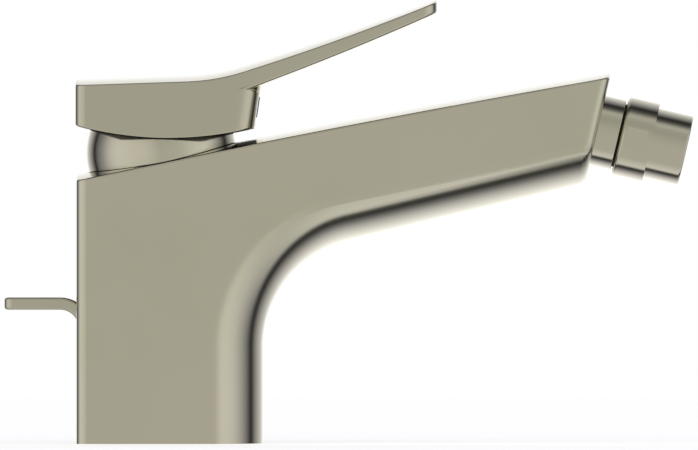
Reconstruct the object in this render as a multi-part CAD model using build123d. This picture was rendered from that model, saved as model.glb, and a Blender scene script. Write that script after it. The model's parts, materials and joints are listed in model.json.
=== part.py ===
"""Single-lever bidet mixer with a swivel outlet and a pop-up waste knob.

Millimetres, +Z up. The origin is in the deck plane, on the axis of the cartridge.
+X points along the spout and Y across the mixer, which is mirror-symmetric about Y = 0.
"""
import os
from math import asin, cos, hypot, radians, sin, sqrt, tan

from build123d import *

# Body: outer form
back_reach = 25.3
front_reach = 30.5
back_half_width = 24.0
end_half_width = 20.5
back_height = 79.0
end_reach = 134.9
end_height = 110.0
top_bow = 0.75
top_crown_rise = 1.8
front_crown_depth = 16.0
bend_height = 29.0
bend_radius = 33.0
underside_slope = 13.5
end_tilt = 13.2
flank_radius = 6.0
back_corner_radius = 3.0
end_edge_radius = 3.4
top_edge_radius = 0.7
overrun = 6.0

# Body: inside
body_wall = 4.0
base_cavity_height = 26.0
chamber_start = 27.0
chamber_end_wall = 11.0
passage_radius = 3.8
passage_low = 34.0
fit = 0.05
running_gap = 0.3

# Deck seal
seal_inset = 1.2
seal_width = 1.6
seal_depth = 1.5

# Water inlets and fixing stud
inlet_radius = 4.5
inlet_depth = 13.0
inlet_boss_radius = 7.4
inlet_x = -10.5
inlet_y = 9.0
inlet_face = 4.0
inlet_passage_radius = 3.0
stud_radius = 3.4
stud_depth = 16.0
stud_boss_radius = 6.0

# Pop-up knob, rod and their groove in the back
groove_width = 10.0
groove_depth = 5.0
groove_corner_radius = 1.5
popup_travel = 25.0
strip_thickness = 3.8
strip_width = 9.0
strip_height = 42.05
strip_reach = 47.2
strip_edge_radius = 0.9
strip_neck = 3.0
strip_bend_radius = 7.6
tip_width = 13.0
tip_corner_radius = 2.4
rod_axis_x = -22.9
rod_radius = 2.2
rod_bottom = 1.5
rod_spigot_radius = 1.1
rod_spigot_length = 4.0
rod_socket_radius = 1.65
rod_socket_depth = 7.0
guide_top = 31.0
guide_height = 4.0
guide_clearance = 0.1

# Cartridge
cartridge_seat = 52.0
cartridge_radius = 17.5
bore_clearance = 0.2
base_flange = 4.0
base_plug = 6.0
shell_wall = 2.0
shell_shoulder = 74.0
shoulder_thickness = 2.0
neck_radius = 15.4
neck_bore_radius = 13.8
neck_top = 90.8
port_circle = 8.5
port_radius = 3.1
inlet_port_angle = 138.0
seal_ring_wall = 1.5
seal_ring_height = 1.6
peg_radius = 1.4
peg_length = 2.4
peg_circle = 14.6
disc_thickness = 5.0
fixed_disc_radius = 14.8
moving_disc_radius = 11.0
disc_recess_depth = 2.5
disc_recess_length = 16.0
disc_recess_width = 9.0
drive_peg_radius = 1.2
drive_peg_length = 1.2
drive_peg_spacing = 15.0
carrier_gap = 0.3

# Cartridge nut
nut_thread_radius = 19.0
nut_head_radius = 18.6
nut_head_height = 4.0
nut_hex_across = 33.0
nut_top = 89.0
ring_cord = 2.0
ring_groove_depth = 0.4
ring_height = 82.0

# Tilt centre, dome cover and its pocket
tilt_height = 87.45
dome_radius = 22.5
dome_wall = 1.4
dome_top = 95.5
pocket_floor = 80.0

# Turret, pin and spindle
turret_radius = 13.5
turret_top = 92.0
flange_radius = 14.4
flange_height = 2.0
turret_slot_length = 16.4
pin_radius = 2.0
pin_length = 26.0
pin_clearance = 0.08
spindle_width = 9.0
spindle_eye_radius = 5.5
arm_depth = 4.0
arm_width = 7.0
foot_radius = 3.0
foot_drop = 10.0
foot_clearance = 0.45
lift_angle = 25.0

# Lever handle
hub_rear = 25.6
hub_front = 29.9
hub_half_width = 23.75
hub_bottom = 91.7
hub_depth = 15.9
hub_roof = 2.1
hub_ceiling_gap = 0.7
hub_bottom_x = 2.4
hub_bottom_radius = 105.0
hub_face_tilt = 8.4
hub_rear_radius = 3.0
hub_front_radius = 6.8
hub_top_slope = 1.9
hub_top_run = 33.6
blend_radius = 62.0
blend_turn = 15.1
arm_top_radius = 870.0
arm_top_turn = 4.7
arm_start = 5.0
arm_tip_x = 82.9
arm_tip_half_width = 16.0
arm_tip_thickness = 3.3
arm_root_x = 21.5
arm_root_thickness = 6.0
arm_under_bow = 0.65
arm_corner_radius = 5.0
lever_edge_radius = 0.5
arm_under_radius = 1.0
hub_under_radius = 0.6
hub_cavity_radius = 22.9
boss_radius = 8.0
boss_depth = 7.4
boss_rib_width = 11.0
screw_drop = 3.8
screw_radius = 2.5
screw_length = 9.0
screw_key_radius = 1.3
screw_key_depth = 3.0
plug_radius = 3.1
plug_depth = 2.2
plug_proud = 0.3
plug_drop = 6.4

# Swivel outlet, measured along its own axis from the end of the spout
outlet_drop = 16.2
spigot_radius = 9.9
spigot_length = 9.0
collar_radius = 10.65
collar_length = 6.6
collar_lip = 0.3
ball_radius = 7.6
ball_station = 2.0
liner_gap = 0.05
neck_seal_radius = 9.6
neck_seal_bore = 7.3
liner_wall = 0.6
liner_front = 6.2
ball_neck_radius = 5.2
ball_bore_radius = 4.0
ball_seat_front = -3.4
ball_seat_bore = 5.0
ring_gap = 0.6
ring_radius = 11.95
ring_length = 9.4
ring_skirt_bore = 11.05
ring_skirt_depth = 2.4
ring_flat_chord = 3.2
ring_flat_depth = 0.45
ring_edge_radius = 1.0
ring_thread_radius = 9.6
ring_web = 1.6
sleeve_radius = 10.6
sleeve_length = 10.8
sleeve_bore_radius = 8.8
sleeve_lip = 1.2
sleeve_lip_bore = 8.0
sleeve_spigot_length = 4.4
sleeve_edge_radius = 0.6
gasket_thickness = 1.2
gasket_bore = 5.5
insert_hole_radius = 0.8
insert_rows = (6, 12)
insert_row_share = 0.42
mesh_thickness = 0.5
mesh_pitch = 2.4
mesh_hole = 1.6

BASE = (Align.CENTER, Align.CENTER, Align.MIN)

# Worked-out places
rear_width_drop = (back_half_width - end_half_width) / (back_reach + end_reach)
rear_top_slope = (end_height - back_height) / (back_reach + end_reach)
outlet_x = end_reach - outlet_drop * sin(radians(end_tilt))
outlet_z = end_height - outlet_drop * cos(radians(end_tilt))
outlet = Plane(
    origin=(outlet_x, 0, outlet_z),
    x_dir=(0, 1, 0),
    z_dir=(cos(radians(end_tilt)), 0, -sin(radians(end_tilt))),
)
hub_rear_height = hub_bottom + hub_depth
hub_ceiling = hub_rear_height - hub_roof
spindle_top = hub_ceiling - hub_ceiling_gap
boss_bottom = spindle_top - boss_depth
screw_height = spindle_top - screw_drop
plug_height = hub_rear_height - plug_drop
plug_top = cartridge_seat + base_flange + base_plug
moving_disc_bottom = plug_top + disc_thickness
carrier_bottom = moving_disc_bottom + disc_thickness
foot_height = tilt_height - foot_drop
disc_stroke = foot_drop * sin(radians(lift_angle))
disc_x = -disc_stroke / 2
groove_floor_x = -back_reach + groove_depth
bend_centre_height = strip_height - strip_bend_radius
strip_outer_radius = strip_bend_radius + strip_thickness / 2
groove_top = bend_centre_height + strip_outer_radius + popup_travel + running_gap
bend_start_x = rod_axis_x - strip_bend_radius
ring_start = collar_length + ring_gap
ring_end = ring_start + ring_length
outlet_end = ring_end + sleeve_length
mesh_bottom = outlet_end - sleeve_lip - mesh_thickness
liner_inner = ball_radius + liner_gap
liner_outer = liner_inner + liner_wall
socket_radius = liner_outer + liner_gap


def column(radius, low, high):
    """A plain cylinder about Z between two heights."""
    return Pos(0, 0, low) * Cylinder(radius, high - low, align=BASE)


def tube(outer, inner, low, high):
    """A round tube about Z between two heights."""
    return column(outer, low, high) - column(inner, low, high)


def block(x_low, x_high, half_width, low, high):
    """A box centred on Y = 0."""
    size = (x_high - x_low, half_width * 2, high - low)
    return Pos((x_low + x_high) / 2, 0, low) * Box(*size, align=BASE)


def prism(side_outline, half_width):
    """Extrude an outline drawn in X and Z to both sides of Y = 0."""
    face = Plane.XZ * make_face(side_outline)
    return extrude(face, half_width, both=True)


def drilled(start, end, radius):
    """A round passage between two points, with ball-nosed ends."""
    run = Line(start, end)
    bore = extrude(Plane(origin=start, z_dir=run % 0) * Circle(radius), run.length)
    return bore + Pos(*start) * Sphere(radius) + Pos(*end) * Sphere(radius)


def sphere_band(radius, centre, low, high):
    """The part of a ball on the Z axis that lies between two heights."""
    return Pos(0, 0, centre) * Sphere(radius) & column(radius + overrun, low, high)


def crown_radius(half_width, rise):
    """Radius of the shallow arc that rises this much over a half width."""
    return (half_width**2 + rise**2) / (rise * 2)


def crowned_top_cutter(path, half_width, rise, height):
    """Everything above a surface that is crowned across and follows a path in X and Z."""
    plane = Plane(origin=path @ 0, x_dir=(0, 1, 0), z_dir=path % 0)
    up = 1 if plane.y_dir.Z > 0 else -1
    reach = half_width + overrun
    drop = rise * (reach / half_width) ** 2 * up
    arc = ThreePointArc((-reach, -drop), (0, 0), (reach, -drop))
    sides = Polyline((reach, -drop), (reach, height * up), (-reach, height * up), (-reach, -drop))
    return sweep(plane * make_face(arc + sides), path)


def bowed_arc(start, finish, bow, extra):
    """Arc that bows up over a chord and runs past both of its ends."""
    along = (finish - start).normalized()
    up = Vector(-along.Z, 0, along.X)
    half = (finish - start).length / 2
    radius = crown_radius(half, bow)
    centre = (start + finish) / 2 - up * (radius - bow)
    turn = asin((half + extra) / radius)
    ends = [centre + along * (radius * sin(a)) + up * (radius * cos(a)) for a in (-turn, turn)]
    return ThreePointArc(ends[0], centre + up * radius, ends[1])


def body_form(inset=0):
    """The body's outer form without its rounded edges, or the same form set in by a wall."""
    back_x = -back_reach + inset
    front_x = front_reach - inset
    plan = make_face(Polyline(
        (back_x, back_half_width - inset),
        (end_reach + overrun, end_half_width - inset - overrun * rear_width_drop),
        (end_reach + overrun, -end_half_width + inset + overrun * rear_width_drop),
        (back_x, -back_half_width + inset),
        close=True,
    ))
    slab = extrude(plan, end_height + overrun)
    lean = tan(radians(end_tilt))
    end_foot = end_reach - inset - end_height * lean
    end_head = end_reach - inset + overrun * lean
    side = Polyline(
        (back_x, 0), (end_foot, 0), (end_head, end_height + overrun),
        (back_x, end_height + overrun), close=True,
    )
    form = slab & prism(side, back_half_width + overrun)

    turn = 90 - underside_slope
    rise_line = Line((front_x, 0, -overrun), (front_x, 0, bend_height))
    bend = JernArc((front_x, bend_height), (0, 1), bend_radius + inset, -turn)
    bend_edge = Plane.XZ * bend
    reach = end_reach * 2
    run_out = Line(bend_edge @ 1, bend_edge @ 1 + (bend_edge % 1) * reach)
    path = Wire([rise_line, bend_edge, run_out])
    plane = Plane(origin=path @ 0, x_dir=(0, 1, 0), z_dir=path % 0)
    half = max(back_half_width, end_half_width) - inset
    depth = hypot(back_reach + front_reach + bend_radius, end_height)
    inward = -1 if plane.y_dir.X > 0 else 1
    crown = front_crown_depth * inward
    arc = ThreePointArc((-half, crown), (0, 0), (half, crown))
    sides = Polyline(
        (half, crown), (half + overrun, crown), (half + overrun, depth * inward),
        (-half - overrun, depth * inward), (-half - overrun, crown), (-half, crown),
    )
    section = make_face(arc + sides)
    form = form & sweep(plane * section, path)

    crown = crown_radius(back_half_width, top_crown_rise)
    end_rise = crown - sqrt(crown**2 - end_half_width**2)
    start = Vector(-back_reach, 0, back_height + top_crown_rise - inset)
    finish = Vector(end_reach, 0, end_height + end_rise - inset)
    arc = bowed_arc(start, finish, top_bow, overrun)
    return form - crowned_top_cutter(
        Wire([arc]), back_half_width, top_crown_rise, end_height - back_height + overrun)


def off_end_face(point):
    """Distance of a point from the plane of the spout's end."""
    shift = point - Vector(end_reach, 0, end_height)
    return abs(shift.X * cos(radians(end_tilt)) - shift.Z * sin(radians(end_tilt)))


def rounded_body():
    """The body's outer form with all its edges rounded."""
    form = body_form()

    def is_flank(edge):
        spots = [edge @ 0, edge @ 0.5, edge @ 1]
        on_side = all(abs(p.Y) > min(back_half_width, end_half_width) - fit for p in spots)
        middle = spots[1]
        top = back_height + rear_top_slope * (middle.X + back_reach)
        off_back = middle.X > -back_reach + fit
        return on_side and off_back and fit < middle.Z < top - flank_radius and (
            off_end_face(middle) > fit)

    form = fillet([e for e in form.edges() if is_flank(e)], flank_radius)
    back = [
        e for e in form.edges()
        if all(abs((e @ share).X + back_reach) < fit for share in (0, 1))
        and abs((e @ 0).Z - (e @ 1).Z) > bend_height
    ]
    form = fillet(back, back_corner_radius)
    end = [
        e for e in form.edges()
        if all(off_end_face(e @ share) < fit for share in (0, 0.5, 1))
        and (e @ 0.5).Z < end_height - end_edge_radius
    ]
    form = fillet(end, end_edge_radius)
    top = [f for f in form.faces() if f.normal_at().Z > cos(radians(end_tilt * 2))]
    crown = max(top, key=lambda face: face.area)
    return fillet(crown.outer_wire().edges(), top_edge_radius)


def groove_space(margin=0):
    """The pop-up groove in the back, or the same space grown by a margin."""
    half = groove_width / 2 + margin
    space = block(-back_reach - overrun, groove_floor_x + margin, half, -overrun, groove_top + margin)
    return fillet(space.edges().filter_by(Axis.X).group_by(Axis.Z)[-1], groove_corner_radius)


def footprint(inset, low, high):
    """The column's outline set in by a distance, round the groove too, between two heights."""
    form = body_form(inset) & block(-back_reach, end_reach, back_half_width, low, high)
    return form - groove_space(inset)


def seal_form():
    """The cord seal that follows the foot of the column."""
    outer = footprint(seal_inset, 0, seal_depth)
    return outer - footprint(seal_inset + seal_width, 0, seal_depth)


def port_places():
    """The outlet port and the two inlet ports, in X and Y."""
    turns = (0, inlet_port_angle, -inlet_port_angle)
    return [(port_circle * cos(radians(a)), port_circle * sin(radians(a))) for a in turns]


def make_body():
    """Casting with the cartridge chamber, passages, spout chamber and threads."""
    form = rounded_body()
    form -= column(dome_radius + running_gap, tilt_height, end_height + overrun)
    form -= sphere_band(dome_radius + running_gap, tilt_height, pocket_floor, tilt_height)
    form -= column(nut_thread_radius + fit, shell_shoulder, pocket_floor)
    form -= column(cartridge_radius + bore_clearance, cartridge_seat, shell_shoulder)

    cavity = footprint(body_wall, 0, base_cavity_height)
    for side in (1, -1):
        place = Pos(inlet_x, side * inlet_y, inlet_face)
        cavity -= place * Cylinder(inlet_boss_radius, base_cavity_height, align=BASE)
    cavity -= column(stud_boss_radius, 0, base_cavity_height)
    form -= cavity
    form -= groove_space()
    form -= seal_form()

    chamber = body_form(body_wall)
    chamber &= block(chamber_start, outlet_x, back_half_width, bend_height + overrun, end_height)
    end_space = Pos(0, 0, -chamber_end_wall) * Cylinder(end_height, end_reach, align=BASE)
    form -= chamber - outlet * end_space

    outlet_port, *inlet_ports = port_places()
    low_point = (outlet_port[0], 0, passage_low)
    form -= drilled((*outlet_port, cartridge_seat), low_point, passage_radius)
    climb = chamber_start + passage_radius - outlet_port[0]
    form -= drilled(low_point, (chamber_start + passage_radius, 0, passage_low + climb), passage_radius)
    for port, side in zip(inlet_ports, (1, -1)):
        top = (*port, cartridge_seat)
        foot = (inlet_x, side * inlet_y, inlet_face + inlet_depth)
        form -= drilled(top, foot, inlet_passage_radius)
        form -= Pos(inlet_x, side * inlet_y, inlet_face) * Cylinder(inlet_radius, inlet_depth, align=BASE)
        form -= Pos(0, side * peg_circle, cartridge_seat) * Cylinder(
            peg_radius + fit, (peg_length + fit) * 2)
    form -= column(stud_radius, 0, stud_depth)

    socket_depth = chamber_end_wall + overrun
    form -= outlet * Pos(0, 0, -socket_depth) * Cylinder(spigot_radius + fit, socket_depth, align=BASE)
    return form


def make_cartridge_base():
    form = column(cartridge_radius, cartridge_seat, cartridge_seat + base_flange)
    form += column(cartridge_radius - shell_wall - fit, cartridge_seat, plug_top)
    for side in (1, -1):
        form += Pos(0, side * peg_circle, cartridge_seat - peg_length) * Cylinder(
            peg_radius, peg_length, align=BASE)
    for x, y in port_places():
        form -= Pos(x, y, 0) * column(port_radius, cartridge_seat, plug_top)
        form -= Pos(x, y, 0) * column(
            port_radius + seal_ring_wall, cartridge_seat, cartridge_seat + seal_ring_height)
        form -= Pos(x, y, 0) * column(
            port_radius + seal_ring_wall, plug_top - seal_ring_height, plug_top)
    return form


def make_fixed_disc():
    form = column(fixed_disc_radius, plug_top, moving_disc_bottom)
    for x, y in port_places():
        form -= Pos(x, y, 0) * column(port_radius, plug_top, moving_disc_bottom)
    return form


def drive_pegs(radius, length):
    """The two pegs by which the carrier drives the moving disc."""
    return [
        Pos(disc_x, side * drive_peg_spacing / 2, carrier_bottom - length) * Cylinder(
            radius, length, align=BASE)
        for side in (1, -1)
    ]


def make_moving_disc():
    form = Pos(disc_x, 0, 0) * column(moving_disc_radius, moving_disc_bottom, carrier_bottom)
    recess = SlotOverall(disc_recess_length, disc_recess_width)
    form -= Pos(disc_x, 0, moving_disc_bottom) * extrude(recess, disc_recess_depth)
    for peg in drive_pegs(drive_peg_radius + fit, drive_peg_length + fit):
        form -= peg
    return form


def make_disc_carrier():
    form = Pos(disc_x, 0, 0) * column(
        moving_disc_radius, carrier_bottom, pocket_floor - carrier_gap)
    floor = foot_height - foot_radius - foot_clearance
    reach = foot_radius + running_gap
    form -= block(-reach, reach, arm_width / 2 + running_gap, floor, pocket_floor)
    for peg in drive_pegs(drive_peg_radius, drive_peg_length):
        form += peg
    return form


def make_cartridge_shell():
    bottom = cartridge_seat + base_flange
    inner_top = shell_shoulder - shoulder_thickness
    form = tube(cartridge_radius, cartridge_radius - shell_wall, bottom, inner_top)
    form += tube(cartridge_radius, neck_bore_radius, inner_top, shell_shoulder)
    form += tube(neck_radius, neck_bore_radius, shell_shoulder, neck_top)
    return form - column(
        flange_radius + running_gap, pocket_floor - running_gap,
        pocket_floor + flange_height + running_gap)


def make_cartridge_nut():
    form = column(nut_thread_radius, shell_shoulder, pocket_floor)
    form += column(nut_head_radius, pocket_floor, pocket_floor + nut_head_height)
    hexagon = RegularPolygon(nut_hex_across / 2, 6, major_radius=False)
    hexagon = hexagon & Circle(nut_head_radius)
    form += Pos(0, 0, pocket_floor) * extrude(hexagon, nut_top - pocket_floor)
    form -= column(neck_radius + running_gap, shell_shoulder, nut_top)
    half = ring_cord / 2 + fit
    groove = tube(nut_head_radius + overrun, nut_head_radius - ring_groove_depth,
                  ring_height - half, ring_height + half)
    return form - groove


def make_dome_o_ring():
    middle = nut_head_radius - ring_groove_depth + fit + ring_cord / 2
    return Pos(0, 0, ring_height) * Torus(middle, ring_cord / 2)


def make_dome_cover():
    form = sphere_band(dome_radius, tilt_height, pocket_floor, dome_top)
    return form - Pos(0, 0, tilt_height) * Sphere(dome_radius - dome_wall)


def make_turret():
    form = column(turret_radius, pocket_floor, turret_top)
    form += column(flange_radius, pocket_floor, pocket_floor + flange_height)
    reach = turret_slot_length / 2
    form -= block(-reach, reach, spindle_width / 2 + running_gap, pocket_floor, turret_top)
    pin_hole = Cylinder(pin_radius + fit / 2, pin_length)
    return form - Pos(0, 0, tilt_height) * Rot(90, 0, 0) * pin_hole


def make_pivot_pin():
    return Pos(0, 0, tilt_height) * Rot(90, 0, 0) * Cylinder(pin_radius, pin_length)


def make_spindle():
    half = spindle_width / 2
    across = Rot(90, 0, 0)
    form = block(-half, half, half, tilt_height, spindle_top)
    form = chamfer(form.faces().sort_by(Axis.Z)[-1].edges(), top_edge_radius)
    form += Pos(0, 0, tilt_height) * across * Cylinder(spindle_eye_radius, spindle_width)
    form += block(-arm_depth / 2, arm_depth / 2, arm_width / 2, foot_height, tilt_height)
    form += Pos(0, 0, foot_height) * across * Cylinder(foot_radius, arm_width)
    return form - Pos(0, 0, tilt_height) * across * Cylinder(pin_radius + pin_clearance, spindle_width)


def lever_top_path():
    """Centre line of the handle's crowned top: hub, upward blend and arm."""
    angle = radians(hub_top_slope)
    along = Vector(cos(angle), sin(angle))
    start = Vector(-hub_rear, hub_rear_height + top_crown_rise)
    hub = Line(start - along * overrun, start + along * hub_top_run)
    blend = JernArc(hub @ 1, hub % 1, blend_radius, blend_turn)
    arm = JernArc(blend @ 1, blend % 1, arm_top_radius, arm_top_turn)
    return [hub, blend, arm]


def lever_plan():
    """Plan outline of the handle, square at the hub and narrowing along the arm."""
    tip = (arm_tip_x, arm_tip_half_width)
    near, middle, far = taper_points(arm_start, tip)
    rear = (-hub_rear, hub_half_width)
    half = [Line(rear, near), ThreePointArc(near, middle, far)]
    other = [mirror(edge, about=Plane.XZ) for edge in half]
    closing = [Line(rear, (rear[0], -rear[1])), Line(far, (far[0], -far[1]))]
    return make_face(half + other + closing)


def taper_points(start_x, tip):
    """Three points of the arc that leaves the hub's side in line with it."""
    run, drop = tip[0] - start_x, hub_half_width - tip[1]
    radius = (run**2 + drop**2) / (drop * 2)
    middle = run / 2
    sag = radius - sqrt(radius**2 - middle**2)
    return (start_x, hub_half_width), (start_x + middle, hub_half_width - sag), tip


def upright_edges(form):
    """The hub's corner edges, which are taller than the hub is deep."""
    return [e for e in form.edges() if abs((e @ 0).Z - (e @ 1).Z) > hub_depth]


def edges_below(form, height):
    """The edges that lie wholly below a height."""
    return [e for e in form.edges() if max((e @ share).Z for share in (0, 0.5, 1)) < height]


def outline_edges(faces):
    """The edges round a set of faces, without those that two of them share."""
    edges = [e for face in faces for e in face.outer_wire().edges()]
    return [e for e in edges if sum(e.is_same(other) for other in edges) == 1]


def hub_block(plan):
    """The hub with its arched underside and its four upright corners rounded."""
    lean = tan(radians(hub_face_tilt))
    height = hub_rear_height + hub_front
    def under(x):
        offset = x - hub_bottom_x
        return hub_bottom + hub_bottom_radius - sqrt(hub_bottom_radius**2 - offset**2)
    front_low = hub_front - (hub_rear_height - under(hub_front)) * lean
    arch = ThreePointArc(
        (-hub_rear, under(-hub_rear)), (hub_bottom_x, hub_bottom), (front_low, under(front_low)))
    front_top = hub_front + (height - hub_rear_height) * lean
    rest = Polyline(
        (front_low, under(front_low)), (front_top, height), (-hub_rear, height),
        (-hub_rear, under(-hub_rear)),
    )
    form = prism(arch + rest, hub_half_width + overrun) & extrude(plan, height)
    form = fillet([e for e in upright_edges(form) if (e @ 0.5).X > arm_start + fit], hub_front_radius)
    form = fillet([e for e in upright_edges(form) if (e @ 0.5).X < 0], hub_rear_radius)
    return fillet(edges_below(form, hub_bottom + hub_depth / 2), hub_under_radius)


def arm_block(plan):
    """The arm's slab, still square on top, from inside the hub to the tip."""
    top = lever_top_path()[-1]
    tip_rise = top_crown_rise * (arm_tip_half_width / hub_half_width) ** 2
    tip_low = crown_line_height(arm_tip_x) - arm_tip_thickness - tip_rise
    root_low = crown_line_height(arm_root_x) - top_crown_rise - arm_root_thickness
    middle = ((arm_root_x + arm_tip_x) / 2, (root_low + tip_low) / 2 - arm_under_bow)
    under = ThreePointArc((arm_root_x, root_low), middle, (arm_tip_x, tip_low))
    slope = under % 0
    inner_low = root_low - (arm_root_x - arm_start) * slope.Y / slope.X
    height = (top @ 1).Y + overrun
    rest = Polyline(
        (arm_tip_x, tip_low), (arm_tip_x, height),
        (arm_start, crown_line_height(arm_start) + overrun),
        (arm_start, inner_low), (arm_root_x, root_low),
    )
    form = prism(under + rest, hub_half_width + overrun) & extrude(plan, height)
    tip = [e for e in form.edges().filter_by(Axis.Z) if (e @ 0.5).X > arm_tip_x - fit]
    form = fillet(tip, arm_corner_radius)
    under = outline_edges([f for f in form.faces() if f.normal_at().Z < -fit])
    return fillet([e for e in under if (e @ 0.5).X > arm_start + fit], arm_under_radius)


def crown_line_height(x):
    """Height of the handle's crowned centre line at a place along it."""
    hub, blend, arm = lever_top_path()
    for edge in (hub, blend, arm):
        if (edge @ 1).X >= x:
            break
    share = (x - (edge @ 0).X) / ((edge @ 1).X - (edge @ 0).X)
    return (edge @ share).Y


def make_lever_handle():
    plan = lever_plan()
    form = hub_block(plan) + arm_block(plan)
    path = Wire([Plane.XZ * edge for edge in lever_top_path()])
    form -= crowned_top_cutter(path, hub_half_width, top_crown_rise, hub_front)
    top = [f for f in form.faces() if f.normal_at().Z > cos(radians(lift_angle + hub_face_tilt))]
    form = fillet(outline_edges(top), lever_edge_radius)

    hollow = Pos(0, 0, tilt_height) * Sphere(hub_cavity_radius)
    hollow &= column(hub_cavity_radius, tilt_height - hub_cavity_radius, hub_ceiling)
    boss = column(boss_radius, boss_bottom, hub_ceiling)
    boss += block(0, hub_cavity_radius, boss_rib_width / 2, boss_bottom, hub_ceiling)
    form -= hollow - boss

    half = spindle_width / 2 + fit
    form -= block(-half, half, half, boss_bottom, spindle_top + fit)
    bore = Pos(0, 0, screw_height) * Rot(0, 90, 0) * Cylinder(screw_radius + fit, hub_front, align=BASE)
    form -= bore
    return form - plug_place() * Pos(0, 0, -plug_depth) * Cylinder(
        plug_radius + fit, plug_depth + overrun, align=BASE)


def plug_place():
    """Plane of the hub's front face at the index plug."""
    lean = radians(hub_face_tilt)
    x = hub_front - (hub_rear_height - plug_height) * tan(lean)
    return Plane(origin=(x, 0, plug_height), x_dir=(0, 1, 0), z_dir=(cos(lean), 0, -sin(lean)))


def make_index_plug():
    form = plug_place() * Pos(0, 0, -plug_depth) * Cylinder(
        plug_radius, plug_depth + plug_proud, align=BASE)
    return form


def make_lever_screw():
    place = Pos(spindle_width / 2, 0, screw_height) * Rot(0, 90, 0)
    key = extrude(RegularPolygon(screw_key_radius, 6), screw_key_depth)
    form = Cylinder(screw_radius, screw_length, align=BASE)
    return place * (form - Pos(0, 0, screw_length - screw_key_depth) * key)


def make_spout_collar():
    form = column(collar_radius, 0, collar_length) + column(spigot_radius, -spigot_length, fit)
    outer = [e for e in form.edges().filter_by(GeomType.CIRCLE)
             if abs(e.radius - collar_radius) < fit and (e @ 0).Z > fit]
    form = fillet(outer, collar_lip)
    form -= Pos(0, 0, ball_station) * Sphere(socket_radius)
    form -= column(socket_radius, -spigot_length, ball_station)
    lip_bore = sqrt(socket_radius**2 - (collar_length - collar_lip - ball_station) ** 2)
    form -= column(lip_bore, ball_station, collar_length)
    return outlet * form


def make_neck_seal():
    return outlet * tube(neck_seal_radius, neck_seal_bore, collar_length, ring_start)


def make_ball_seat():
    form = tube(socket_radius - fit, ball_seat_bore, -spigot_length, ball_seat_front)
    return outlet * (form - Pos(0, 0, ball_station) * Sphere(socket_radius))


def make_ball_liner():
    shell = Pos(0, 0, ball_station) * (Sphere(liner_outer) - Sphere(liner_inner))
    return outlet * (shell & column(socket_radius, ball_seat_front + liner_wall, liner_front))


def make_swivel_ball():
    form = Pos(0, 0, ball_station) * Sphere(ball_radius)
    form += column(ball_neck_radius, ball_station, ring_start + ring_skirt_depth + ring_web)
    form -= column(ball_bore_radius, -ball_radius, ring_end)
    return outlet * (form - column(ball_radius, -ball_radius, ball_seat_front + liner_wall))


def make_swivel_ring():
    form = column(ring_radius, ring_start, ring_end)
    form = fillet(form.edges().filter_by(GeomType.CIRCLE).sort_by(Axis.Z)[0], ring_edge_radius)
    form -= column(ring_skirt_bore, ring_start, ring_start + ring_skirt_depth)
    web_end = ring_start + ring_skirt_depth + ring_web
    form -= column(ball_neck_radius + fit / 2, ring_start, ring_end)
    form -= column(ring_thread_radius, web_end, ring_end)
    middle = (ring_start + ring_end) / 2
    for side in (1, -1):
        flat = Box(ring_flat_depth * 2, ring_flat_chord * 2, ring_flat_chord * 2)
        form -= Pos(side * ring_radius, 0, middle) * flat
    return outlet * form


def make_outlet_sleeve():
    form = column(sleeve_radius, ring_end, outlet_end)
    form = fillet(form.edges().filter_by(GeomType.CIRCLE).sort_by(Axis.Z)[-1], sleeve_edge_radius)
    form += column(ring_thread_radius - fit, ring_end - sleeve_spigot_length, ring_end)
    form -= column(sleeve_lip_bore, ring_end - sleeve_spigot_length, outlet_end)
    form -= column(sleeve_bore_radius, ring_end, outlet_end - sleeve_lip)
    return outlet * form


def make_aerator_gasket():
    top = ring_end + gasket_thickness
    return outlet * tube(sleeve_bore_radius - fit, gasket_bore, ring_end, top)


def make_aerator_insert():
    low = ring_end + gasket_thickness
    form = column(sleeve_bore_radius - fit, low, mesh_bottom)
    for row, count in enumerate(insert_rows, start=1):
        reach = sleeve_bore_radius * insert_row_share * row
        for place in PolarLocations(reach, count):
            form -= place * Pos(0, 0, low) * Cylinder(
                insert_hole_radius, mesh_bottom - low, align=BASE)
    return outlet * form


def make_aerator_mesh():
    form = column(sleeve_bore_radius - fit, mesh_bottom, mesh_bottom + mesh_thickness)
    count = int(sleeve_lip_bore * 2 / mesh_pitch)
    for place in GridLocations(mesh_pitch, mesh_pitch, count, count):
        spot = place.position
        if hypot(spot.X, spot.Y) < sleeve_lip_bore - mesh_hole:
            form -= place * Pos(0, 0, mesh_bottom) * Box(mesh_hole, mesh_hole, mesh_thickness * 2)
    return outlet * form


def make_pop_up_lever():
    half = strip_thickness / 2
    plate = make_face(Polyline(
        (bend_start_x, strip_width / 2), (bend_start_x - strip_neck, strip_width / 2),
        (-strip_reach, tip_width / 2), (-strip_reach, -tip_width / 2),
        (bend_start_x - strip_neck, -strip_width / 2), (bend_start_x, -strip_width / 2), close=True,
    ))
    plate = fillet(plate.vertices().sort_by(Axis.X)[:2], tip_corner_radius)
    form = Pos(0, 0, strip_height - half) * extrude(plate, strip_thickness)
    level = [e for e in form.edges() if abs((e @ 0).Z - (e @ 1).Z) < fit]
    form = fillet([e for e in level if (e @ 0.5).X < bend_start_x - fit], strip_edge_radius)
    bend = JernArc((bend_start_x, strip_height), (1, 0), strip_bend_radius, -90)
    drop = Line(bend @ 1, (rod_axis_x, guide_top))
    path = Wire([Plane.XZ * bend, Plane.XZ * drop])
    section = Plane(origin=path @ 0, x_dir=(0, 1, 0), z_dir=path % 0)
    form += sweep(section * RectangleRounded(strip_width, strip_thickness, strip_edge_radius), path)
    socket = Pos(rod_axis_x, 0, guide_top) * Cylinder(
        rod_spigot_radius + fit, rod_spigot_length + fit, align=BASE)
    return form - socket


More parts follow.
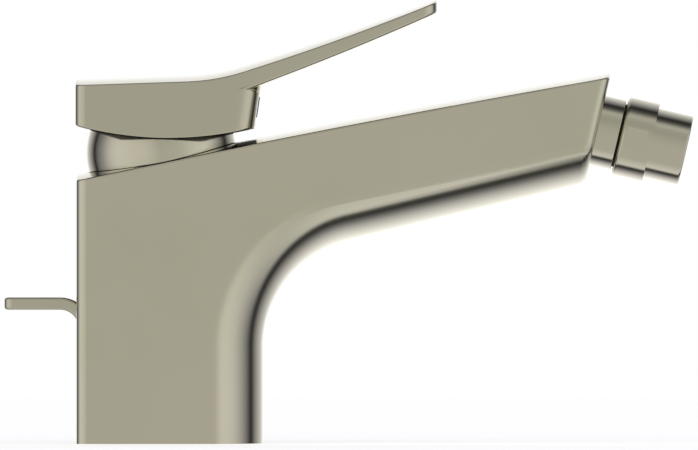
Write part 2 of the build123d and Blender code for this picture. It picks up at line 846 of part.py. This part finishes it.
def make_pop_up_rod():
    place = Pos(rod_axis_x, 0, 0)
    form = place * column(rod_radius, rod_bottom, guide_top)
    form += place * column(rod_spigot_radius, guide_top, guide_top + rod_spigot_length)
    return form - place * column(rod_socket_radius, rod_bottom, rod_bottom + rod_socket_depth)


def make_rod_guide():
    half = groove_width / 2 - fit
    form = block(-back_reach + fit, groove_floor_x - fit, half, guide_top - guide_height, guide_top)
    return form - Pos(rod_axis_x, 0, 0) * column(rod_radius + guide_clearance, 0, guide_top)


def port_rings(low):
    """Three seal rings, one for each port."""
    return Compound(children=[
        Pos(x, y, 0) * tube(port_radius + seal_ring_wall, port_radius, low, low + seal_ring_height)
        for x, y in port_places()
    ])


PIECES = {
    "body": make_body,
    "deck_seal": seal_form,
    "cartridge_base": make_cartridge_base,
    "base_seals": lambda: port_rings(cartridge_seat),
    "disc_seals": lambda: port_rings(plug_top - seal_ring_height),
    "fixed_disc": make_fixed_disc,
    "moving_disc": make_moving_disc,
    "disc_carrier": make_disc_carrier,
    "cartridge_shell": make_cartridge_shell,
    "cartridge_nut": make_cartridge_nut,
    "dome_o_ring": make_dome_o_ring,
    "dome_cover": make_dome_cover,
    "turret": make_turret,
    "pivot_pin": make_pivot_pin,
    "spindle": make_spindle,
    "lever_handle": make_lever_handle,
    "lever_screw": make_lever_screw,
    "index_plug": make_index_plug,
    "spout_collar": make_spout_collar,
    "neck_seal": make_neck_seal,
    "ball_seat": make_ball_seat,
    "ball_liner": make_ball_liner,
    "swivel_ball": make_swivel_ball,
    "swivel_ring": make_swivel_ring,
    "outlet_sleeve": make_outlet_sleeve,
    "aerator_gasket": make_aerator_gasket,
    "aerator_insert": make_aerator_insert,
    "aerator_mesh": make_aerator_mesh,
    "pop_up_lever": make_pop_up_lever,
    "pop_up_rod": make_pop_up_rod,
    "rod_guide": make_rod_guide,
}

os.makedirs("parts", exist_ok=True)
for name, make in PIECES.items():
    export_step(make(), f"parts/{name}.step")
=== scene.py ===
"""Looks of the single-lever bidet mixer: satin nickel in a plain white studio, seen from the side."""
import json
import math

import bpy
from mathutils import Matrix, Vector


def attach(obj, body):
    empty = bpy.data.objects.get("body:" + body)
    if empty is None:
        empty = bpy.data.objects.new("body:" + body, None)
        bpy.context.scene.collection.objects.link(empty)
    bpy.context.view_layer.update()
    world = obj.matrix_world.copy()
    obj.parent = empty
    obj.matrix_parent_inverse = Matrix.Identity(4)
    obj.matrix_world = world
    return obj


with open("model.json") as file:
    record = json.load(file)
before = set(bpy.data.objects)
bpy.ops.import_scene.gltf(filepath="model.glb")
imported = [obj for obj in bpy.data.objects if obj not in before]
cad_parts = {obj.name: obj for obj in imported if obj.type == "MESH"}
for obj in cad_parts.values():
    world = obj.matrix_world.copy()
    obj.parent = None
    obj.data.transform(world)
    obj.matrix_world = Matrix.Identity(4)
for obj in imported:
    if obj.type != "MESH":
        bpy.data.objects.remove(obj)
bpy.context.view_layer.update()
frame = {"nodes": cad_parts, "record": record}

MM = 0.001
FAR = 1.0  # past every face of the mixer
TINY = 1e-6  # keeps a division safe
HALF_TURN = 180.0
WHITE = (1, 1, 1, 1)

# Camera: the photograph's side view from far away. The picture is VIEW_WIDTH wide where
# it meets the mixer's near side. Lens and sensor are in millimetres.
VIEW_CENTRE = Vector((0.0565, 0.0, 0.0657))
VIEW_WIDTH = 0.2094
NEAR_SIDE = -0.022
LENS = 1000.0
SENSOR = 36.0
CLIP_NEAR = 0.05
CLIP_FAR = 40.0

# Studio: brightness on each side of the mixer, as pairs of angle and level.
# The angle is 0 degrees towards the camera and 180 straight behind the mixer.
# STUDIO_LEVEL is the strength of level 1, and STUDIO_PEAK is more than any level.
STUDIO_LEVEL = 0.58
STUDIO_PEAK = 2.4
STUDIO_LEFT = (
    (0, 1.0), (4, 1.0), (10, 1.12), (20, 1.23), (30, 1.29), (45, 1.32), (60, 1.38), (72, 1.42),
    (84, 1.26), (92, 1.03), (98, 0.83), (103, 0.66), (110, 0.48), (118, 0.3), (124, 0.08),
    (128, 0.06), (134, 0.4), (143, 0.8), (152, 1.15), (162, 1.6), (171, 1.9), (180, 1.8),
)
STUDIO_RIGHT = (
    (0, 1.0), (20, 1.02), (34, 1.08), (48, 1.26), (60, 1.36), (72, 1.42), (84, 1.26), (92, 1.03),
    (98, 0.83), (103, 0.64), (109, 0.43), (114, 0.2), (119, 0.05), (123, 0.12), (130, 0.48),
    (142, 0.95), (152, 1.2), (162, 1.6), (171, 1.9), (180, 1.8),
)
STUDIO_ABOVE = (
    (0, 1.0), (16, 0.93), (28, 0.85), (40, 0.75), (53, 0.80), (63, 0.98), (68, 0.95), (75, 0.6),
    (82, 0.22), (90, 0.09), (99, 0.04), (107, 0.26), (118, 0.64), (130, 1.05), (147, 1.45),
    (156, 1.6), (164, 1.66), (173, 1.9), (180, 1.8),
)
STUDIO_BELOW = (
    (0, 1.0), (30, 1.0), (57, 1.0), (66, 1.14), (75, 1.36), (84, 1.5), (88, 1.2), (91, 0.32),
    (94, 0.09), (99, 0.09), (102, 0.2), (106, 0.36), (110, 0.56), (114, 0.8), (118, 1.02),
    (124, 1.3), (131, 1.6), (140, 1.9), (155, 2.2), (170, 2.2), (180, 1.8),
)

# Angle of each side's dark edge, and the angle from which the four edges are made to meet
DARK_LEFT = 126
DARK_RIGHT = 119
DARK_ABOVE = 99
DARK_BELOW = 96
DARK_MEET = 60

# How blue the studio's light is at each angle, 1 where it is plain grey
STUDIO_TINT = ((50, 1.0), (93, 1.07), (106, 1.16), (122, 1.15), (165, 1.0))

# Floor, with the light of its own that makes it white to the camera
FLOOR_HALF = 1.5
FLOOR_COLOUR = (0.93, 0.93, 0.925, 1)
FLOOR_ROUGH = 0.9
FLOOR_LIFT = 0.60

# Tones of the metals, dark and light
NICKEL = ((0.620, 0.602, 0.446, 1), (0.660, 0.617, 0.477, 1))
# Painted shade: the lever and its knob use the same nickel, darkened by this factor where their sides
# catch less light
LEVER_PAINTED_SHADE = 0.93
BRASS = ((0.76, 0.56, 0.27, 1), (0.84, 0.64, 0.33, 1))
STEEL = ((0.57, 0.56, 0.54, 1), (0.63, 0.62, 0.60, 1))
# Painted shade: dark tones and roughness for the hollows and undersides where shade falls
PAINTED_SHADE_TONES = ((0.010, 0.010, 0.009, 1), (0.022, 0.021, 0.019, 1))
PAINTED_SHADE_ROUGH = 0.6

# Finishes: least and most roughness, fineness of the grain, strength of the relief
NICKEL_FINISH = (0.09, 0.15, 900.0, 0.05)
BRASS_FINISH = (0.25, 0.38, 700.0, 0.15)
STEEL_FINISH = (0.22, 0.34, 800.0, 0.15)

# Plastics, rubber and ceramic: colour and finish
PLASTICS = {
    "ceramic": ((0.80, 0.78, 0.74, 1), (0.12, 0.2, 500.0, 0.05)),
    "cartridge_plastic": ((0.70, 0.70, 0.68, 1), (0.38, 0.5, 900.0, 0.2)),
    "carrier_plastic": ((0.10, 0.11, 0.14, 1), (0.35, 0.5, 900.0, 0.2)),
    "seal_rubber": ((0.016, 0.016, 0.017, 1), (0.6, 0.8, 1200.0, 0.3)),
    "guide_plastic": ((0.02, 0.02, 0.022, 1), (0.4, 0.55, 900.0, 0.2)),
    "liner_plastic": ((0.82, 0.82, 0.80, 1), (0.3, 0.4, 700.0, 0.1)),
    "aerator_plastic": ((0.62, 0.62, 0.61, 1), (0.4, 0.55, 900.0, 0.2)),
}
PLASTIC_DARKER = 0.92
PLASTIC_LIGHTER = 1.05

# Unevenness: fineness of the noise behind tone and relief, and depth of the relief
METAL_TONE_SCALE = 22.0
PLASTIC_TONE_SCALE = 60.0
TONE_STOPS = (0.3, 0.7)
SOFT_DETAIL = 2.0
GRAIN_DETAIL = 3.0
METAL_RELIEF_FINER = 3
METAL_RELIEF_DEPTH = 0.02 * MM
PLASTIC_RELIEF_DEPTH = 0.05 * MM

# Index plug in the hub's front: cold half, thin dark split and warm half
INDEX_HALF = 3.1 * MM
INDEX_COLD = (0.012, 0.045, 0.23, 1)
INDEX_SPLIT = (0.03, 0.03, 0.032, 1)
INDEX_WARM = (0.34, 0.014, 0.012, 1)
INDEX_SPLIT_SHARES = (0.46, 0.54)
INDEX_ROUGH = 0.5
INDEX_SHEEN = 0.2

# Wire in the mouth of the swivel outlet, its station measured along the outlet's axis
OUTLET_START = Vector((131.2006 * MM, 0, 94.2280 * MM))
OUTLET_TILT = 13.2
WIRE_STATION = 26.35 * MM
WIRE_REACH = 7.9 * MM
WIRE_PITCH = 0.8 * MM
WIRE_HALF = 0.11 * MM

# Thread ridges in the bores of the foot, each between two heights, in steps of a turn
THREAD_PITCH = 1.25 * MM
THREAD_RISE = 0.45 * MM
THREAD_SINK = 0.05 * MM
THREAD_HALF_SHARE = 0.42
THREAD_STEPS = 40
INLET_X = -10.5 * MM
INLET_Y = 9.0 * MM
INLET_RADIUS = 4.5 * MM
INLET_THREAD = (4.7 * MM, 16.2 * MM)
STUD_RADIUS = 3.4 * MM
STUD_THREAD = (0.7 * MM, 15.2 * MM)

# Hollow blend between the lever's arm and the front of its hub, fading out towards the sides.
# The turns go round the hub's corner, in degrees from straight ahead; lean and rise are slopes.
BLEND_RADIUS = 3.1 * MM
BLEND_FADE = 0.6
BLEND_ROOT = 0.25 * MM
BLEND_STEPS = 8
BLEND_TURNS = (65, 60, 54, 48, 42, 36, 30, 24, 18, 12, 6, 0)
HUB_CORNER_X = 29.97 * MM
HUB_CORNER_Z = 107.78 * MM
HUB_CORNER_RADIUS = 6.8 * MM
HUB_HALF_WIDTH = 23.4 * MM
HUB_BLEND_EDGE = 22.9 * MM
HUB_LEAN = 0.148
ARM_RISE = 0.378

# Painted shade: the pocket in the body, and the hollow and underside of the hub, are coloured dark
# where shade falls in them
POCKET_RADIUS = 22.86 * MM
POCKET_RIM_RADIUS = 23.9 * MM
POCKET_LOW = 50 * MM
RIM_NORMAL = 0.6
RIM_PAINTED_SHADE_FROM = -8 * MM
HUB_HOLLOW_RADIUS = 23.2 * MM
HUB_CEILING = 105.6 * MM
HUB_UNDERSIDE_TOP = 97 * MM
UNDERSIDE_NORMAL = -0.85

# Places of a Mix node's colour sockets, which share their names with its number sockets
MIX_FIRST, MIX_SECOND, MIX_RESULT = 6, 7, 2


def add_node(tree, kind, **values):
    """Add a node and set its properties and its unlinked inputs."""
    node = tree.nodes.new(kind)
    for key, value in values.items():
        if key in node.inputs:
            node.inputs[key].default_value = value
        else:
            setattr(node, key, value)
    return node


def calculated(tree, operation, first, second=None):
    """One step of arithmetic between two links, or a link and a number."""
    node = add_node(tree, "ShaderNodeMath", operation=operation)
    for socket, value in zip(node.inputs, (first, second)):
        if hasattr(value, "is_linked"):
            tree.links.new(value, socket)
        elif value is not None:
            socket.default_value = value
    return node.outputs[0]


def product(tree, first, *others):
    """All the given values multiplied."""
    for other in others:
        first = calculated(tree, "MULTIPLY", first, other)
    return first


def ranged(tree, value, low, high, start=0.0, end=1.0):
    """Map a value that runs from start to end onto the range from low to high."""
    node = add_node(tree, "ShaderNodeMapRange")
    limits = {"From Min": start, "From Max": end, "To Min": low, "To Max": high}
    for key, limit in limits.items():
        node.inputs[key].default_value = limit
    tree.links.new(value, node.inputs["Value"])
    return node.outputs["Result"]


def ramped(tree, value, stops, interpolation="LINEAR"):
    """Turn a 0 to 1 value into a colour, by stops that are pairs of position and colour."""
    ramp = add_node(tree, "ShaderNodeValToRGB")
    ramp.color_ramp.interpolation = interpolation
    elements = ramp.color_ramp.elements
    while len(elements) < len(stops):
        elements.new(0.5)
    for element, (position, colour) in zip(elements, stops):
        element.position = position
        element.color = colour
    tree.links.new(value, ramp.inputs["Fac"])
    return ramp.outputs["Color"]


def mixed(tree, share, first, second):
    """Blend two colours, from the first at a share of 0 to the second at 1."""
    node = add_node(tree, "ShaderNodeMix", data_type="RGBA")
    tree.links.new(share, node.inputs["Factor"])
    tree.links.new(first, node.inputs[MIX_FIRST])
    tree.links.new(second, node.inputs[MIX_SECOND])
    return node.outputs[MIX_RESULT]


def coordinates(tree, kind):
    """The X, Y and Z parts of the place or direction that is being shaded."""
    place = add_node(tree, "ShaderNodeTexCoord")
    parts = add_node(tree, "ShaderNodeSeparateXYZ")
    tree.links.new(place.outputs[kind], parts.inputs["Vector"])
    return parts.outputs


def noise(tree, scale, detail):
    """Noise in object space, finer at a larger scale."""
    place = add_node(tree, "ShaderNodeTexCoord")
    texture = add_node(tree, "ShaderNodeTexNoise", Scale=scale, Detail=detail)
    tree.links.new(place.outputs["Object"], texture.inputs["Vector"])
    return texture.outputs["Fac"]


def shaded(colour, factor):
    """The same colour, darker or lighter."""
    return (*[channel * factor for channel in colour[:3]], 1)


def tinted(tree, value, tones):
    """A base colour that wanders between two close tones."""
    return ramped(tree, value, tuple(zip(TONE_STOPS, tones)))


def bumped(tree, shader, height, strength, depth):
    """Give the shader a fine surface relief."""
    bump = add_node(tree, "ShaderNodeBump", Strength=strength, Distance=depth)
    tree.links.new(height, bump.inputs["Height"])
    tree.links.new(bump.outputs["Normal"], shader.inputs["Normal"])


def new_material(name, settings):
    """A node material whose Principled shader has the given values and is ready for links."""
    material = bpy.data.materials.new(name)
    material.use_nodes = True
    shader = material.node_tree.nodes["Principled BSDF"]
    for key, value in settings.items():
        shader.inputs[key].default_value = value
    return material, material.node_tree, shader


def metal(name, tones, finish, painted_shade=None):
    """Plated or machined metal with faint unevenness of tone, gloss and surface.
    Where a mask of painted shade is given, the places it marks are painted dark and rough, standing in
    for shade."""
    material, tree, shader = new_material(name, {"Metallic": 1.0})
    rough_low, rough_high, grain, relief = finish
    colour = tinted(tree, noise(tree, METAL_TONE_SCALE, SOFT_DETAIL), tones)
    fine = noise(tree, grain, GRAIN_DETAIL)
    rough = ranged(tree, fine, rough_low, rough_high)
    if painted_shade:
        # painted shade: the marked places get the dark tones instead of the nickel
        place = painted_shade(tree)
        colour = mixed(tree, place, colour, tinted(tree, fine, PAINTED_SHADE_TONES))
        rough = calculated(tree, "MAXIMUM", rough, product(tree, place, PAINTED_SHADE_ROUGH))
    tree.links.new(colour, shader.inputs["Base Color"])
    tree.links.new(rough, shader.inputs["Roughness"])
    finest = noise(tree, grain * METAL_RELIEF_FINER, SOFT_DETAIL)
    bumped(tree, shader, finest, relief, METAL_RELIEF_DEPTH)
    return material


def plastic(name, colour, finish):
    """Moulded plastic, rubber or ceramic with faint unevenness of tone, gloss and surface."""
    material, tree, shader = new_material(name, {"Metallic": 0.0})
    rough_low, rough_high, grain, relief = finish
    tones = (shaded(colour, PLASTIC_DARKER), shaded(colour, PLASTIC_LIGHTER))
    tone = tinted(tree, noise(tree, PLASTIC_TONE_SCALE, SOFT_DETAIL), tones)
    fine = noise(tree, grain, GRAIN_DETAIL)
    tree.links.new(tone, shader.inputs["Base Color"])
    tree.links.new(ranged(tree, fine, rough_low, rough_high), shader.inputs["Roughness"])
    bumped(tree, shader, fine, relief, PLASTIC_RELIEF_DEPTH)
    return material


def index_plastic():
    """Dark plug with a warm half and a cold half, split at the mixer's middle plane."""
    settings = {"Roughness": INDEX_ROUGH, "Specular IOR Level": INDEX_SHEEN}
    material, tree, shader = new_material("index_plug", settings)
    across = ranged(tree, coordinates(tree, "Object")["Y"], 0.0, 1.0, -INDEX_HALF, INDEX_HALF)
    stops = zip((0.0, *INDEX_SPLIT_SHARES), (INDEX_COLD, INDEX_SPLIT, INDEX_WARM))
    colour = ramped(tree, across, tuple(stops), "CONSTANT")
    tree.links.new(colour, shader.inputs["Base Color"])
    return material


def inside_axis(tree, radius, low, high):
    """1 within a radius of the cartridge axis and between two heights, 0 elsewhere."""
    x, y, z = coordinates(tree, "Object")
    reach = calculated(tree, "ADD", product(tree, x, x), product(tree, y, y))
    near = calculated(tree, "LESS_THAN", reach, radius**2)
    over = calculated(tree, "GREATER_THAN", z, low)
    under = calculated(tree, "LESS_THAN", z, high)
    return product(tree, near, over, under)


def face_slope(tree):
    """The upward part of the surface's direction: 1 on level tops, -1 on undersides."""
    return coordinates(tree, "Normal")["Z"]


def body_painted_shade(tree):
    """Painted shade: the cartridge pocket in the top of the body, with the front of its rim, marked to
    be coloured dark.
    """
    front = calculated(tree, "GREATER_THAN", coordinates(tree, "Object")["X"], RIM_PAINTED_SHADE_FROM)
    level = calculated(tree, "GREATER_THAN", face_slope(tree), RIM_NORMAL)
    rim = product(tree, level, front, inside_axis(tree, POCKET_RIM_RADIUS, POCKET_LOW, FAR))
    return calculated(tree, "MAXIMUM", rim, inside_axis(tree, POCKET_RADIUS, POCKET_LOW, FAR))


def lever_painted_shade(tree):
    """Painted shade: the hollow under the hub and the hub's underside, marked to be coloured dark."""
    facing = calculated(tree, "LESS_THAN", face_slope(tree), UNDERSIDE_NORMAL)
    under = product(tree, facing, inside_axis(tree, FAR, 0.0, HUB_UNDERSIDE_TOP))
    return calculated(tree, "MAXIMUM", under, inside_axis(tree, HUB_HOLLOW_RADIUS, 0.0, HUB_CEILING))


def build_materials():
    """The material of every slot, and those of the nodes that have one of their own."""
    by_slot = {name: plastic(name, colour, finish) for name, (colour, finish) in PLASTICS.items()}
    by_slot["index_plastic"] = index_plastic()
    by_slot["satin_nickel"] = metal("satin_nickel", NICKEL, NICKEL_FINISH)
    by_slot["brass"] = metal("brass", BRASS, BRASS_FINISH)
    by_slot["stainless"] = metal("stainless", STEEL, STEEL_FINISH)
    # painted shade: a darker copy of the nickel for the lever and its knob
    lever_painted_shade_tones = [shaded(tone, LEVER_PAINTED_SHADE) for tone in NICKEL]
    by_node = {
        # the body and the lever get painted shade in their hollows and undersides
        "body": metal("body_nickel_painted_shade", NICKEL, NICKEL_FINISH, body_painted_shade),
        "lever_handle": metal("lever_nickel_painted_shade", lever_painted_shade_tones, NICKEL_FINISH, lever_painted_shade),
        "pop_up_lever": metal("knob_nickel_painted_shade", lever_painted_shade_tones, NICKEL_FINISH),
    }
    return by_slot, by_node


def side_light(tree, turn, levels):
    """Brightness on one side of the studio, as a share of STUDIO_PEAK."""
    stops = [(angle / HALF_TURN, (*[level / STUDIO_PEAK] * 3, 1)) for angle, level in levels]
    return ramped(tree, turn, stops)


def upright_share(tree, across, up):
    """How far a direction lies above or below the mixer rather than beside it, 0 to 1."""
    across_squared = product(tree, across, across)
    up_squared = product(tree, up, up)
    whole = calculated(tree, "ADD", calculated(tree, "ADD", across_squared, up_squared), TINY)
    return calculated(tree, "DIVIDE", up_squared, whole)


def studio_light(tree):
    """Light of the studio: even in front, bright behind, and a dark edge between the two."""
    across, away, up = coordinates(tree, "Generated")
    turn = calculated(tree, "ARCCOSINE", product(tree, away, -1.0))
    turn = calculated(tree, "DIVIDE", turn, math.pi)
    upright = upright_share(tree, across, up)
    right = calculated(tree, "GREATER_THAN", across, 0.0)
    over = calculated(tree, "GREATER_THAN", up, 0.0)
    # Each side has its dark edge at an angle of its own, so the turns are shifted to make them meet
    level_dark = ranged(tree, right, DARK_LEFT / HALF_TURN, DARK_RIGHT / HALF_TURN)
    upright_dark = ranged(tree, over, DARK_BELOW / HALF_TURN, DARK_ABOVE / HALF_TURN)
    meet = calculated(tree, "MINIMUM", product(tree, turn, HALF_TURN / DARK_MEET), 1.0)
    gap = product(tree, calculated(tree, "SUBTRACT", upright_dark, level_dark), meet)
    level_turn = calculated(tree, "SUBTRACT", turn, product(tree, upright, gap))
    upright_turn = calculated(tree, "ADD", level_turn, gap)
    left_light = side_light(tree, level_turn, STUDIO_LEFT)
    right_light = side_light(tree, level_turn, STUDIO_RIGHT)
    low_light = side_light(tree, upright_turn, STUDIO_BELOW)
    high_light = side_light(tree, upright_turn, STUDIO_ABOVE)
    level_light = mixed(tree, right, left_light, right_light)
    upright_light = mixed(tree, over, low_light, high_light)
    light = mixed(tree, upright, level_light, upright_light)
    tint = ramped(tree, turn, [(angle / HALF_TURN, (1, 1, blue, 1)) for angle, blue in STUDIO_TINT])
    tinge = add_node(tree, "ShaderNodeVectorMath", operation="MULTIPLY")
    tree.links.new(light, tinge.inputs[0])
    tree.links.new(tint, tinge.inputs[1])
    return tinge.outputs[0]


def build_world():
    """The studio that lights the mixer and shows in its metal, and plain white to the camera."""
    world = bpy.data.worlds.new("studio")
    bpy.context.scene.world = world
    world.use_nodes = True
    tree = world.node_tree
    tree.nodes.clear()
    studio = add_node(tree, "ShaderNodeBackground", Strength=STUDIO_LEVEL * STUDIO_PEAK)
    tree.links.new(studio_light(tree), studio.inputs["Color"])
    white = add_node(tree, "ShaderNodeBackground", Color=WHITE, Strength=1.0)
    rays = add_node(tree, "ShaderNodeLightPath").outputs
    seen = calculated(tree, "MAXIMUM", rays["Is Camera Ray"], rays["Is Transmission Ray"])
    choice = add_node(tree, "ShaderNodeMixShader")
    tree.links.new(seen, choice.inputs["Fac"])
    tree.links.new(studio.outputs[0], choice.inputs[1])
    tree.links.new(white.outputs[0], choice.inputs[2])
    output = add_node(tree, "ShaderNodeOutputWorld")
    tree.links.new(choice.outputs[0], output.inputs["Surface"])


def build_floor():
    """A plain white floor that keeps the mixer's soft shadow."""
    mesh = bpy.data.meshes.new("floor")
    corners = [(-1, -1), (1, -1), (1, 1), (-1, 1)]
    mesh.from_pydata([(x * FLOOR_HALF, y * FLOOR_HALF, 0) for x, y in corners], [], [(0, 1, 2, 3)])
    floor = bpy.data.objects.new("floor", mesh)
    bpy.context.collection.objects.link(floor)
    material, tree, shader = new_material("floor", {
        "Base Color": FLOOR_COLOUR,
        "Roughness": FLOOR_ROUGH,
        "Specular IOR Level": 0.0,
        "Emission Color": WHITE,
    })
    rays = add_node(tree, "ShaderNodeLightPath").outputs
    tree.links.new(product(tree, rays["Is Camera Ray"], FLOOR_LIFT), shader.inputs["Emission Strength"])
    mesh.materials.append(material)
    floor.visible_glossy = False


def build_camera():
    """Long lens, level, square to the mixer's side."""
    data = bpy.data.cameras.new("camera")
    data.lens = LENS
    data.sensor_width = SENSOR
    data.clip_start = CLIP_NEAR
    data.clip_end = CLIP_FAR
    camera = bpy.data.objects.new("camera", data)
    distance = VIEW_WIDTH * LENS / SENSOR
    camera.location = VIEW_CENTRE + Vector((0, NEAR_SIDE - distance, 0))
    camera.rotation_euler = (math.radians(90), 0, 0)
    bpy.context.collection.objects.link(camera)
    bpy.context.scene.camera = camera


def add_piece(name, points, faces, material, body, slot):
    """Build a small fitted piece from points in metres and let it ride on a body."""
    mesh = bpy.data.meshes.new(name)
    mesh.from_pydata(points, [], faces)
    mesh.materials.append(material)
    piece = bpy.data.objects.new(name, mesh)
    bpy.context.collection.objects.link(piece)
    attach(piece, body)
    return piece


def bar(sections):
    """Points and faces of a closed bar through cross-sections, with its two ends as first faces."""
    count = len(sections[0])
    points = [point for section in sections for point in section]
    last = len(points) - count
    faces = [list(range(count))[::-1], list(range(last, last + count))]
    for base in range(0, last, count):
        for index in range(count):
            after = (index + 1) % count
            faces.append([base + index, base + after, base + count + after, base + count + index])
    return points, faces


def outlet_frame():
    """Place and turn of the swivel outlet, with Z down its axis and the start at the spout's end."""
    tilt = math.radians(OUTLET_TILT)
    away = Vector((math.cos(tilt), 0, -math.sin(tilt)))
    side = Vector((0, 1, 0))
    turn = Matrix((side, away.cross(side), away)).transposed().to_4x4()
    return Matrix.Translation(OUTLET_START) @ turn


def wire_sections(shift, station, lengthwise):
    """Both end sections of one straight wire, which reaches across the round mouth."""
    reach = math.sqrt(WIRE_REACH**2 - shift**2)
    sections = []
    for end in (-reach, reach):
        section = []
        for side, rise in ((-1, -1), (1, -1), (1, 1), (-1, 1)):
            across = shift + side * WIRE_HALF
            flat = (end, across) if lengthwise else (across, end)
            section.append(Vector((*flat, station + rise * WIRE_HALF)))
        sections.append(section)
    return sections


def build_mesh_wires(material):
    """The fine wire in the mouth of the aerator, in two crossed layers."""
    place = outlet_frame()
    points = []
    faces = []
    count = int(WIRE_REACH / WIRE_PITCH)
    for lengthwise, station in ((True, WIRE_STATION), (False, WIRE_STATION + WIRE_HALF * 2)):
        for index in range(-count, count + 1):
            first = len(points)
            wire_points, wire_faces = bar(wire_sections(index * WIRE_PITCH, station, lengthwise))
            points += [place @ point for point in wire_points]
            faces += [[first + corner for corner in face] for face in wire_faces]
    add_piece("mesh_wires", points, faces, material, "outlet", "stainless")


def build_thread(name, x, y, radius, heights, material):
    """A thread's ridge on the wall of an upright bore."""
    low, high = heights
    steps = int((high - low) / THREAD_PITCH * THREAD_STEPS)
    half = THREAD_PITCH * THREAD_HALF_SHARE
    root = radius + THREAD_SINK
    crest = radius - THREAD_RISE
    sections = []
    for step in range(steps + 1):
        angle = step / THREAD_STEPS * math.tau
        middle = low + THREAD_PITCH * step / THREAD_STEPS
        profile = ((root, middle - half), (crest, middle), (root, middle + half))
        sections.append([(x + r * math.cos(angle), y + r * math.sin(angle), z) for r, z in profile])
    add_piece(name, *bar(sections), material, "mixer_body", "satin_nickel")


def build_threads(material):
    """The threads of both inlets and of the stud hole."""
    build_thread("inlet_thread_left", INLET_X, -INLET_Y, INLET_RADIUS, INLET_THREAD, material)
    build_thread("inlet_thread_right", INLET_X, INLET_Y, INLET_RADIUS, INLET_THREAD, material)
    build_thread("stud_thread", 0, 0, STUD_RADIUS, STUD_THREAD, material)


def blend_section(turn, side):
    """One cross-section of the lever's hollow blend: the arc first, then the root behind it."""
    turn = math.radians(turn)
    up = Vector((0, 0, 1))
    away = Vector((math.cos(turn), side * math.sin(turn), 0))
    straight = HUB_HALF_WIDTH - HUB_CORNER_RADIUS
    round_centre = Vector((HUB_CORNER_X - HUB_CORNER_RADIUS, side * straight, HUB_CORNER_Z))
    corner = round_centre + away * HUB_CORNER_RADIUS
    corner.z += (corner.x - HUB_CORNER_X) * ARM_RISE
    wall = -(up + away * HUB_LEAN * away.x).normalized()
    arm = (away + up * ARM_RISE * away.x).normalized()
    half = wall.angle(arm) / 2
    run = BLEND_RADIUS / math.tan(half)
    if turn:
        room = (HUB_BLEND_EDGE - straight) / math.sin(turn) - HUB_CORNER_RADIUS
        run = min(run, BLEND_FADE * room)
    middle = (wall + arm).normalized()
    centre = corner + middle * run / math.cos(half)
    first = corner + wall * run - centre
    last = corner + arm * run - centre
    shares = [step / BLEND_STEPS for step in range(BLEND_STEPS + 1)]
    arc = [centre + first.slerp(last, share) * first.length for share in shares]
    sunk = middle * -BLEND_ROOT
    return [arc[0] + sunk, *arc, arc[-1] + sunk, corner + sunk]


def build_lever_blend(material):
    """The hollow blend that runs round the hub's front under the arm, smooth along its arc."""
    sections = [blend_section(turn, -1) for turn in BLEND_TURNS]
    sections += [blend_section(turn, 1) for turn in reversed(BLEND_TURNS)]
    count = len(sections[0])
    piece = add_piece("lever_blend", *bar(sections), material, "lever", "satin_nickel")
    for face in piece.data.polygons[2:]:
        face.use_smooth = 1 <= (face.index - 2) % count <= BLEND_STEPS


def dress_nodes(by_slot, by_node):
    """Give every carried-over node its own material, or else that of its slot."""
    slots = {part["node"]: part["material_slot"] for part in frame["record"]["subparts"]}
    for name, node in frame["nodes"].items():
        for place in node.material_slots:
            place.material = by_node.get(name, by_slot[slots[name]])


build_world()
build_floor()
build_camera()
slot_materials, node_materials = build_materials()
build_mesh_wires(slot_materials["stainless"])
build_lever_blend(node_materials["lever_handle"])
build_threads(slot_materials["satin_nickel"])
dress_nodes(slot_materials, node_materials)

bpy.context.scene.view_settings.view_transform = "Standard"
